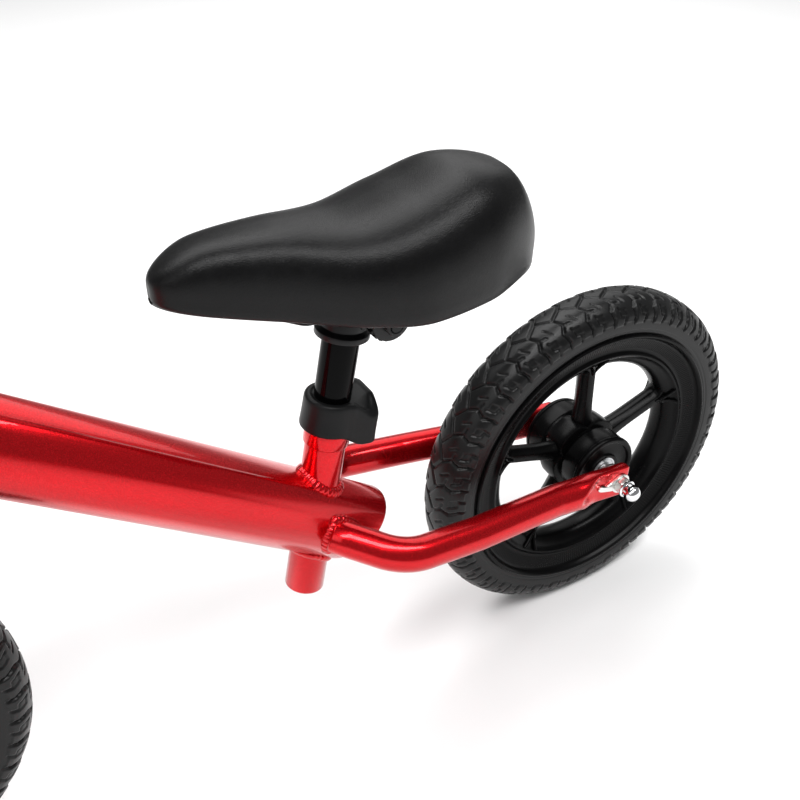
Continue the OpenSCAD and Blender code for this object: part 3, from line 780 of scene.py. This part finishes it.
# ------------------------------------------------------------------ weld beads
def bead(name, c1, d1, r1, c2, d2, r2, sign, body, size=2.6, lo=0.0, hi=2 * math.pi, pitch=3.4, seed=1):
    """rippled weld along the line where the tube (c1, d1, r1) meets the tube (c2, d2, r2)"""
    c1, c2, d1, d2 = (np.array(v, float) for v in (c1, c2, d1, d2))
    e = unit(np.cross(d1, (0, 1, 0))) if abs(d1[1]) < 0.95 else np.array([1.0, 0, 0])
    g = np.cross(d1, e)
    pts = []
    closed = hi - lo > 6.2
    n = 220
    for k in range(n + (0 if closed else 1)):
        f = lo + (hi - lo) * k / n
        o = c1 + (e * math.cos(f) + g * math.sin(f)) * r1
        w = o - c2
        a = d1 - (d1 @ d2) * d2
        b = w - (w @ d2) * d2
        A, B, C = a @ a, 2 * a @ b, b @ b - r2 * r2
        D = B * B - 4 * A * C
        if D < 0:
            D = 0
        t = (-B + sign * math.sqrt(D)) / (2 * A)
        q = o + d1 * t
        n1 = unit(q - c1 - ((q - c1) @ d1) * d1)
        n2 = unit(q - c2 - ((q - c2) @ d2) * d2)
        pts.append((q + (n1 + n2) * 0.25 * size, n1 + n2))
    return bead_on(name, [p for p, _ in pts], [v for _, v in pts], [size] * len(pts), body, closed, pitch, seed)


def bead_on(name, P, nn, size, body, closed=False, pitch=3.4, seed=1):
    """rippled weld through the points P; nn points out of the joint, size is its radius at each"""
    P, nn = np.array(P), np.array(nn)
    L = np.concatenate([[0], np.cumsum(np.linalg.norm(np.diff(P, axis=0), axis=1))])
    V, F = [], []
    m = 16
    total = len(P)
    for k in range(total):
        t = unit(P[(k + 1) % total] - P[k - 1]) if closed or 0 < k < total - 1 else unit(P[min(k + 1, total - 1)] - P[max(k - 1, 0)])
        s = unit(nn[k] - (nn[k] @ t) * t)
        u = np.cross(t, s)
        ph = (L[k] / pitch) % 1.0
        z = noise.noise(Vector((L[k] * 0.13, seed * 7.1, 0.0)))
        z2 = noise.noise(Vector((L[k] * 0.45, seed * 3.7, 2.0)))
        rr = size[k] * (0.84 + 0.24 * math.sqrt(max(0, 1 - (2 * ph - 1) ** 2)) + 0.20 * z + 0.10 * z2)
        c = P[k] + u * 0.5 * z
        for j in range(m):
            f = 2 * math.pi * j / m
            V.append(tuple(c + s * rr * 0.80 * math.cos(f) + u * rr * 1.25 * math.sin(f)))
    for i in range(total if closed else total - 1):
        i2 = (i + 1) % total
        for j in range(m):
            F.append((i * m + j, i * m + (j + 1) % m, i2 * m + (j + 1) % m, i2 * m + j))
    if not closed:
        F.append(tuple(range(m - 1, -1, -1)))
        F.append(tuple((total - 1) * m + j for j in range(m)))
    return make(name, V, F, "frame_paint", body)


def stay_bead(name, A, B, r1, seed):
    """weld round a stay that ends bluntly on the side of the main tube: along its wall, then over its end"""
    A, B = np.array(A, float), np.array(B, float)
    d1 = unit(A - B)
    L1 = np.linalg.norm(A - B)
    e = unit(np.cross(d1, (0, 0, 1)))
    g = np.cross(e, d1)

    def meet(f):
        o = B + (e * math.cos(f) + g * math.sin(f)) * r1
        w = o - J
        a = d1 - (d1 @ MAIN_D) * MAIN_D
        b = w - (w @ MAIN_D) * MAIN_D
        aa, bb, cc = a @ a, 2 * a @ b, b @ b - 29.25 ** 2
        dd = bb * bb - 4 * aa * cc
        if dd < 0:
            return None, None
        t = (-bb - math.sqrt(dd)) / (2 * aa)
        return t, o + d1 * t
    F = np.linspace(0, 2 * math.pi, 361)[:-1]
    hit = [meet(f) for f in F]
    free = [t is None or t > L1 for t, _ in hit]
    # start just past the end of the free arc
    k0 = next(k for k in range(360) if free[k - 1] and not free[k])
    order = [(k0 + k) % 360 for k in range(360)]
    wall = [k for k in order if not free[k]]
    P = [hit[k][1] for k in wall]
    N = []
    for q in P:
        n1 = unit(q - B - ((q - B) @ d1) * d1)
        n2 = unit(q - J - ((q - J) @ MAIN_D) * MAIN_D)
        N.append(n1 + n2)
    size = [2.6] * len(P)
    a, b = P[-1], P[0]
    m = 60
    for k in range(1, m):
        q = a + (b - a) * k / m
        w = q - J
        n2 = unit(w - (w @ MAIN_D) * MAIN_D)
        q = q - n2 * (np.linalg.norm(w - (w @ MAIN_D) * MAIN_D) - 29.25)
        s_ = math.sin(math.pi * k / m)
        P.append(q + d1 * (0.5 + 2.2 * s_))
        N.append(n2 * 1.2 + d1 * 0.9)
        size.append(2.6 + 2.3 * s_)
    # the bead's centre stands a little off the corner
    P = [p + n * 0.22 * z for p, n, z in zip(P, N, size)]
    # even out the ends of the two runs
    for _ in range(6):
        P = [0.25 * P[k - 1] + 0.5 * P[k] + 0.25 * P[(k + 1) % len(P)] for k in range(len(P))]
        size = [0.25 * size[k - 1] + 0.5 * size[k] + 0.25 * size[(k + 1) % len(P)] for k in range(len(P))]
    return bead_on(name, P, N, size, "frame", True, 3.4, seed)


bead("weld_seat_tube_top", J, SEAT_D, 14.3, J, MAIN_D, 29.25, 1, "frame", 2.7, seed=1)
bead("weld_seat_tube_foot", J, SEAT_D, 14.3, J, MAIN_D, 29.25, -1, "frame", 2.5, seed=2)
for s, nm in ((1, "left"), (-1, "right")):
    stay_bead("weld_%s_stay" % nm, STAY_A * [1, s, 1], STAY_B * [1, s, 1], 12.7, 3 + s)
    a = on_head(160) - [0, 4 * s, 0]
    b = np.array([526, 41 * s, 143])
    bead("weld_%s_leg" % nm, b, unit(a - b), 11.0, on_head(0), HEAD_D, 12.7, -1, "fork", 2.2, seed=6 + s)


# ------------------------------------------------------------------ rings of any outline stacked along an axis
def stack(rows, caps=True):
    """rows: lists of points, all the same length, joined into a skin"""
    V = [tuple(p) for row in rows for p in row]
    m = len(rows[0])
    F = []
    for i in range(len(rows) - 1):
        for k in range(m):
            F.append((i * m + k, i * m + (k + 1) % m, (i + 1) * m + (k + 1) % m, (i + 1) * m + k))
    if caps:
        F.append(tuple(range(m - 1, -1, -1)))
        F.append(tuple((len(rows) - 1) * m + k for k in range(m)))
    return V, F


def hexnut(af, y0, y1, bore=4.0, seg=96, collar=0.6, turn=0.0):
    """chamfered hexagon nut along Y, open bore"""
    R = af / 2

    def ring(y, rmax, lim=None):
        out = []
        for k in range(seg):
            a = 2 * math.pi * k / seg
            h = R / math.cos((a - turn + math.pi / 6) % (math.pi / 3) - math.pi / 6)
            r = min(h, rmax)
            out.append((r * math.cos(a), y, r * math.sin(a)))
        return out

    def circ(y, r):
        return [(r * math.cos(2 * math.pi * k / seg), y, r * math.sin(2 * math.pi * k / seg)) for k in range(seg)]
    d = 1 if y1 > y0 else -1
    h = abs(y1 - y0)
    rows = [circ(y0, bore + 0.1), circ(y0, R * 0.98), ring(y0 + d * 0.15, R * 1.02), ring(y0 + d * 0.6, R * 1.085), ring(y0 + d * 1.0, R * 1.2),
            ring(y1 - d * 1.1, R * 1.2), ring(y1 - d * 0.6, R * 1.085), ring(y1 - d * 0.15, R * 1.0), circ(y1, R * 0.93), circ(y1, bore + 0.9),
            circ(y1 - d * 0.6, bore + 0.1), circ(y1 - d * 0.5 * h, bore)]
    V, F = stack(rows + [rows[0]], caps=False)
    return V, F


def tooth_washer(ang, y0, s):
    """flat washer with a tab that narrows to a hooked point"""
    P = []
    for k in range(41):
        a = math.radians(42 + (360 - 78) * k / 40)
        P.append((8.6 * math.cos(a), 8.6 * math.sin(a)))
    P += [(10.0, -4.6), (13.5, -3.9), (17.5, -3.1), (20.6, -2.4), (22.3, -1.5), (22.9, -0.2), (22.8, 1.2), (22.0, 2.1), (20.8, 2.4), (19.6, 2.1),
          (18.2, 1.4), (16.6, 1.1), (14.6, 1.5), (12.2, 2.7), (9.8, 4.4)]
    ca, sa = math.cos(ang), math.sin(ang)
    hole = 4.1

    def row(y, k, hk=1.0):
        out = []
        for x, z in P:
            n = math.hypot(x, z)
            x, z = x * (1 - k / n), z * (1 - k / n)
            # the tip of the tab would bend a little outwards here; the factor is 0, so it stays flat
            yy = y + s * max(0, x - 15) * 0.0
            out.append((x * ca - z * sa, yy, x * sa + z * ca))
        return out

    def inner(y, r):
        out = []
        for x, z in P:
            a = math.atan2(z, x)
            out.append((r * math.cos(a + ang), y, r * math.sin(a + ang)))
        return out
    y1 = y0 + s * 1.8
    rows = [inner(y0, hole), row(y0, 0.3), row(y0 + s * 0.3, 0), row(y1 - s * 0.35, 0), row(y1, 0.4), inner(y1, hole + 0.3), inner(y1 - s * 0.3, hole)]
    return stack(rows + [rows[0]], caps=False)


def dome_cap(y0, s):
    pr = [(4.1, 0), (7.0, 0), (7.4, 0.3), (7.4, 1.2), (7.0, 1.5), (6.2, 1.8), (6.0, 2.4), (6.15, 3.5), (6.45, 4.7), (6.6, 6.0), (6.6, 7.3),
          (6.4, 8.9), (5.6, 10.5), (4.4, 11.8), (2.9, 12.6), (1.4, 12.95), (0.02, 13.0)]
    inner = [(0.02, 6.4), (2.0, 6.2), (3.6, 5.2), (4.1, 4.0)]
    return revolve([(r, s * h) for r, h in pr + inner], 64, (0, y0, 0))


def spacer(s):
    pr = [(4.1, 33.3), (6.0, 33.3), (6.2, 33.6), (6.2, 35.8), (6.5, 36.3), (8.4, 37.6), (9.0, 38.2), (9.0, 39.9), (8.6, 40.4), (4.1, 40.4)]
    return revolve([(r, s * y) for r, y in pr], 96)


def threaded(y0, y1, r=4.0, pitch=1.25, seg=40):
    """coarse thread drawn as a helix-like ripple"""
    rows = []
    n = int(abs(y1 - y0) / pitch * 8)
    for i in range(n + 1):
        y = y0 + (y1 - y0) * i / n
        row = []
        for k in range(seg):
            a = 2 * math.pi * k / seg
            ph = ((y / pitch) + k / seg) % 1.0
            q = r - 0.45 * abs(2 * ph - 1)
            row.append((q * math.cos(a), y, q * math.sin(a)))
        rows.append(row)
    return stack(rows)


for cx, body, pre, tab in ((0.0, "frame", "rear", math.radians(6.2)), (WB, "fork", "front", math.radians(117.2))):
    def at(p):
        return [(x + cx, y, z) for x, y, z in p[0]], p[1]
    make(pre + "_tab_washers", *at(join_lists(tooth_washer(tab, 52.5, 1), tooth_washer(tab, -52.5, -1))), "zinc", body, (pre + "_safety_washers",), sharp=35)
    make(pre + "_hex_nuts", *at(join_lists(hexnut(13, 54.3, 60.5, turn=0.3), hexnut(13, -54.3, -60.5, turn=0.9))), "zinc", body, (pre + "_axle_nuts",), sharp=30)
    make(pre + "_dome_caps", *at(join_lists(dome_cap(60.5, 1), dome_cap(-60.5, -1))), "chrome_cap", body, (pre + "_axle_caps",), sharp=50)
    make(pre + "_cone_spacers", *at(join_lists(spacer(1), spacer(-1))), "zinc", body, (pre + "_spacers",), sharp=35)
    make(pre + "_axle_rod", *at(threaded(-62.8, 62.8)), "zinc", body, (pre + "_axle",), sharp=50)


# ------------------------------------------------------------------ soft boot over the seat clamp
def boot():
    """round in front, square block behind that hangs lower, sloping top on the near corner"""
    def sdf(x, y, g):
        d1 = math.hypot(x, y) - (20 - g)
        hx, hy, rc = 14.0 - g, 19.0 - g, 6.5
        qx, qy = abs(x + 16.0) - hx + rc, abs(y) - hy + rc
        d2 = math.hypot(max(qx, 0), max(qy, 0)) + min(max(qx, qy), 0) - rc
        k = 2.2
        h = max(0.0, min(1.0, 0.5 + 0.5 * (d2 - d1) / k))
        return d2 * (1 - h) + d1 * h - k * h * (1 - h)

    def ring(f, g, dt=0.0, n=160):
        """f runs from the bottom edge (0) to the top (1)"""
        out = []
        for k in range(n):
            a = 2 * math.pi * k / n
            lo, hi = 0.0, 60.0
            for _ in range(26):
                m = (lo + hi) / 2
                if sdf(-7 + m * math.cos(a), m * math.sin(a), g + 0.8 * f * sstep((-7 + m * math.cos(a) + 8) / 8)) < 0:
                    lo = m
                else:
                    hi = m
            x, y = -7 + lo * math.cos(a), lo * math.sin(a)
            bot = 75.2 - 8.4 * sstep((2 - x) / 21)
            top = 99.4 - 11.0 * sstep((-x - 5) / 20) * sstep((y - 2.5) / 18)
            out.append((x, y, bot + (top - bot) * f + dt))
        return out
    rows = [ring(0.0, 3.6, 1.5), ring(0.0, 1.6, 0.1), ring(0.0, 0.7, 0.0), ring(0.0, 0.15, 0.5), ring(0.06, -0.05), ring(0.14, 0.0), ring(0.35, 0.15),
            ring(0.6, 0.15), ring(0.8, 0.1), ring(0.90, 0.2), ring(0.945, 0.5), ring(0.975, 1.0), ring(0.993, 1.8), ring(1.0, 2.8), ring(1.0, 3.8, -0.1),
            ring(1.0, 4.6, -0.6), ring(1.0, 5.2, -1.1), ring(1.0, 6.2, -1.3)]
    return stack(rows)


bv, bf = boot()
ob = make("clamp_boot", place(bv, SEAT), bf, "rubber_boot", "frame", ("seat_clamp_cover",), sharp=60)


# ------------------------------------------------------------------ saddle
def pchip(xs, ys, x):
    """monotone cubic through the points"""
    xs, ys = np.array(xs, float), np.array(ys, float)
    h = np.diff(xs)
    d = np.diff(ys) / h
    m = np.zeros_like(ys)
    for i in range(1, len(xs) - 1):
        if d[i - 1] * d[i] > 0:
            w1, w2 = 2 * h[i] + h[i - 1], h[i] + 2 * h[i - 1]
            m[i] = (w1 + w2) / (w1 / d[i - 1] + w2 / d[i])

    def end(h0, h1, d0, d1):
        v = ((2 * h0 + h1) * d0 - h0 * d1) / (h0 + h1)
        if v * d0 <= 0:
            return 0.0
        if d0 * d1 <= 0 and abs(v) > 3 * abs(d0):
            return 3 * d0
        return v
    m[0], m[-1] = end(h[0], h[1], d[0], d[1]), end(h[-1], h[-2], d[-1], d[-2])
    x = np.asarray(x, float)
    k = np.clip(np.searchsorted(xs, x, side="right") - 1, 0, len(xs) - 2)
    t = (x - xs[k]) / h[k]
    return ((1 + 2 * t) * (1 - t) ** 2 * ys[k] + t * (1 - t) ** 2 * h[k] * m[k] + t * t * (3 - 2 * t) * ys[k + 1] + t * t * (t - 1) * h[k] * m[k + 1])


KN = [0, .12, .28, .45, .62, .78, .9, 1.0]
SAD_W = [25, 27, 34, 47, 55, 52, 45, 40]
SAD_T = [261, 271, 269, 264, 272, 282, 279, 236]
SAD_B = [237, 228, 217, 206, 200, 201, 203, 199]


def saddle():
    n = 110
    S = 0.5 - 0.5 * np.cos(np.pi * np.linspace(0.0, 1.0, n))
    S = np.clip(S, 0.0006, 0.9994)
    w, zt, zb = pchip(KN, SAD_W, S), pchip(KN, SAD_T, S), pchip(KN, SAD_B, S)
    e = (1 - np.abs(2 * S - 1) ** 5) ** (1 / 2.2)
    X = 337 + (74 - 337) * S
    rows = []
    A = np.linspace(0, math.pi, 65)
    for i in range(n):
        zm = zb[i] + (zt[i] - zb[i]) * 0.38
        row = []
        for a in A:
            c, s = math.cos(a), abs(math.sin(a))
            row.append((X[i], math.copysign(abs(c) ** (2 / 2.6), c) * w[i] * e[i], zm + (zt[i] - zm) * s ** (2 / 2.6) * e[i] ** 0.6))
        # skirt on the far side, rolled edge, underside, rolled edge, skirt
        g = w[i] * e[i]
        hgt = (zm - zb[i])
        lip = min(3.0, hgt * 0.4)

        def sk(sgn):
            out = []
            for t in (0.80, 0.6, 0.4, 0.22):
                out.append((X[i], sgn * g * (0.935 + 0.065 * t ** 0.8), zb[i] + hgt * t))
            for f in (20, 45, 70, 90, 115, 140, 165):
                f = math.radians(f)
                out.append((X[i], sgn * (g * 0.93 - lip * (1 - math.cos(f))), zb[i] + lip - lip * math.sin(f) - 0.0))
            out.append((X[i], sgn * max(0.0, g * 0.93 - 2 * lip), zb[i] + lip * 1.2))
            return out
        row += sk(-1)
        wi = max(0.0, g * 0.93 - 2 * lip)
        for t in (0.6, 0.25, -0.25, -0.6):
            row.append((X[i], -wi * t, zb[i] + lip * 1.2))
        row += list(reversed(sk(1)))
        rows.append(row)
    return stack(rows)


sv, sf = saddle()
pad = make("saddle_padding", sv, sf, "saddle_cover", "saddle", ("saddle_pad",), sharp=None)


# ------------------------------------------------------------------ seat post, clamp and rails
def in_frame(part, fr):
    return place(part[0], fr), part[1]


post = revolve([(11.2, -19.4), (12.2, -19.9), (12.7, -19.2), (12.7, 171.0), (12.5, 171.8), (11.2, 171.8)], 96, (0, 0, 0), "z")
make("post_tube", *in_frame(post, SEAT), "black_paint", "seat_post", ("seat_post",), sharp=45)


def rails():
    parts = []
    for s in (1, -1):
        P = [(303, 10.2 * s, 233.6), (250, 20 * s, 209.5), (150, 20 * s, 202), (107, 23.8 * s, 233.6)]
        path = arc_path(P, 18, 12)
        parts.append(sweep_mesh([(p, t, 3.5, 3.5, 2) for p, t in path], (0, 1, 0), 28))
    return join_lists(*parts)


make("rail_wires", *rails(), "black_paint", "saddle", ("saddle_rails",), sharp=60)


# ------------------------------------------------------------------ handlebar and grips
BAR_C = np.array([575 + 38 * math.sin(HA) - 366 * math.cos(HA), 0, 38 * math.cos(HA) + 366 * math.sin(HA)])
BAR = [np.array(p, float) for p in ((-22, 198, 58), (-6, 85, 54), (0, 42, 0), (0, -42, 0), (-6, -85, 54), (-22, -198, 58))]
path = [(p + BAR_C, t) for p, t in arc_path(BAR, 35, 22)]
make("bar_tube", *sweep_mesh([(p, t, 11.1, 11.1, 2) for p, t in path], (1, 0, 0), 56), "black_paint", "handlebar", ("handlebar",), sharp=60)


def grip():
    """moulded grip: rounded bar-end, palm flange, rows of ribs between"""
    prof = [(0.0, -3.9), (5.0, -3.9), (9.5, -3.7), (13.2, -3.0), (16.4, -1.6), (18.6, 0.0), (19.4, 1.8), (19.2, 3.6), (17.8, 5.4), (15.6, 6.8), (14.6, 8.4)]
    z = 10.0
    while z < 78:
        prof += [(14.2, z), (14.95, z + 0.5), (15.0, z + 2.4), (14.2, z + 3.0)]
        z += 4.0
    prof += [(14.4, 81.5), (15.2, 83.0), (17.0, 84.4), (19.2, 85.4), (19.95, 86.8), (19.95, 88.6), (19.2, 90.0), (17.2, 91.2), (14.0, 91.9), (11.3, 91.9),
             (11.15, 80), (11.15, 2), (0.0, 2)]
    rows = []
    n = 96
    for r, h in prof:
        row = []
        ribbed = 12 < h < 80 and r > 13
        for k in range(n):
            a = 2 * math.pi * k / n
            q = r
            if ribbed:   # lengthwise flutes break the ribs into pads
                q = r - 0.55 * max(0.0, 1 - abs(((a / (2 * math.pi) * 12) % 1.0) - 0.5) / 0.12)
            row.append((max(q, 0.01) * math.cos(a), max(q, 0.01) * math.sin(a), h))
        rows.append(row)
    return stack(rows + [rows[0]], caps=False)


gd = unit(BAR[1] - BAR[0])
GR = frame_to(BAR_C + BAR[0], np.cross(np.array([0, 0, 1.0]), gd), gd)
gl = in_frame(grip(), GR)
make("left_grip_ribbed", *gl, "grip_rubber", "handlebar", ("left_grip",), sharp=50)
make("right_grip_ribbed", *flip_y(gl), "grip_rubber", "handlebar", ("right_grip",), sharp=50)


# ------------------------------------------------------------------ softened edges on the pieces that keep their CAD shape
def soften(name, width, segs=3, angle=30):
    ob = frame["nodes"][name]
    for p in ob.data.polygons:
        p.use_smooth = True
    w = ob.modifiers.new("weld", "WELD")
    w.merge_threshold = 0.00002
    b = ob.modifiers.new("edge", "BEVEL")
    b.width = width * MM
    b.segments = segs
    b.limit_method = "ANGLE"
    b.angle_limit = math.radians(angle)
    b.harden_normals = True
    b.use_clamp_overlap = True
    return ob


for nm, wd in (("stem", 1.2), ("saddle_clamp_core", 0.9), ("saddle_clamp_jaws", 0.35), ("head_tube", 0.4), ("seat_tube", 0.35),
               ("seat_tube_sleeve", 1.0), ("main_tube", 0.4), ("headset_cups", 0.5), ("fork_steerer", 0.3), ("saddle_base", 0.8),
               ("headset_top_race", 0.4), ("fork_crown_race", 0.4), ("stem_bolt", 0.4), ("stem_clamp_bolt", 0.4)):
    soften(nm, wd)

ln = hexnut(30, 300.6, 306.4, bore=12.8, seg=144)
make("locknut_hex", *in_frame(([(x, -z, y) for x, y, z in ln[0]], ln[1]), HEAD), "zinc", "fork", ("headset_locknut",), sharp=30)
for s in (1, -1):
    pass
nuts = join_lists(hexnut(13, 30.3, 36.4, turn=0.5), hexnut(13, -30.3, -36.4, turn=0.2))
make("saddle_hex_nuts", [(x + 195.5, y, z + 197) for x, y, z in nuts[0]], nuts[1], "clamp_black", "seat_post", ("saddle_clamp_nuts",), sharp=30)
sb = threaded(-36.9, 36.9)
make("saddle_bolt_rod", [(x + 195.5, y, z + 197) for x, y, z in sb[0]], sb[1], "clamp_black", "seat_post", ("saddle_clamp_bolt",), sharp=50)


# ------------------------------------------------------------------ floor, lights, camera
def floor():
    me = bpy.data.meshes.new("floor")
    s = 9.0
    me.from_pydata([(-s, -s, 0), (s, -s, 0), (s, s, 0), (-s, s, 0)], [], [(0, 1, 2, 3)])
    ob = bpy.data.objects.new("floor", me)
    bpy.context.scene.collection.objects.link(ob)
    m, nt, b = _nodes("studio_floor")
    b.inputs["Base Color"].default_value = (0.93, 0.93, 0.93, 1)
    b.inputs["Roughness"].default_value = 0.9
    b.inputs["Specular IOR Level"].default_value = 0.1
    me.materials.append(m)
    return ob


floor()

world = bpy.data.worlds.new("studio")
world.use_nodes = True
bg = world.node_tree.nodes["Background"]
bg.inputs["Color"].default_value = (1, 1, 1, 1)
bg.inputs["Strength"].default_value = 0.22
bpy.context.scene.world = world


def area(name, loc, target, size, power, size_y=None, spread=None):
    ld = bpy.data.lights.new(name, "AREA")
    ld.energy = power
    ld.size = size
    if size_y:
        ld.shape = "RECTANGLE"
        ld.size_y = size_y
    if spread:
        ld.spread = math.radians(spread)
    ob = bpy.data.objects.new(name, ld)
    bpy.context.scene.collection.objects.link(ob)
    ob.location = loc
    d = Vector(target) - Vector(loc)
    ob.rotation_euler = d.to_track_quat("-Z", "Y").to_euler()
    return ob


area("key_strip", (-0.2, 0.9, 2.2), (0, 0, 0.2), 2.6, 46, 0.45)
area("top_soft", (0.1, -1.1, 2.6), (0, 0, 0.1), 3.0, 66, 1.5)
area("back_soft", (-1.6, -1.6, 1.7), (0, 0, 0.25), 1.6, 12)
area("front_soft", (1.8, 0.9, 1.5), (0.0, 0, 0.2), 1.4, 8)

cam_d = bpy.data.cameras.new("photo_view")
cam_d.sensor_width = 36
cam_d.lens = 47.25
cam_d.clip_start = 0.01
cam_d.clip_end = 60
cam = bpy.data.objects.new("photo_view", cam_d)
bpy.context.scene.collection.objects.link(cam)
R = Matrix(((-0.8607, -0.2942, 0.4154), (0.5090, -0.4974, 0.7025), (0.0, 0.8161, 0.5779)))
q = R.to_quaternion()
q.normalize()
cam.rotation_mode = "QUATERNION"
cam.rotation_quaternion = q
cam.location = (0.1785, 0.5182, 0.6820)
bpy.context.scene.camera = cam

bpy.context.view_layer.update()
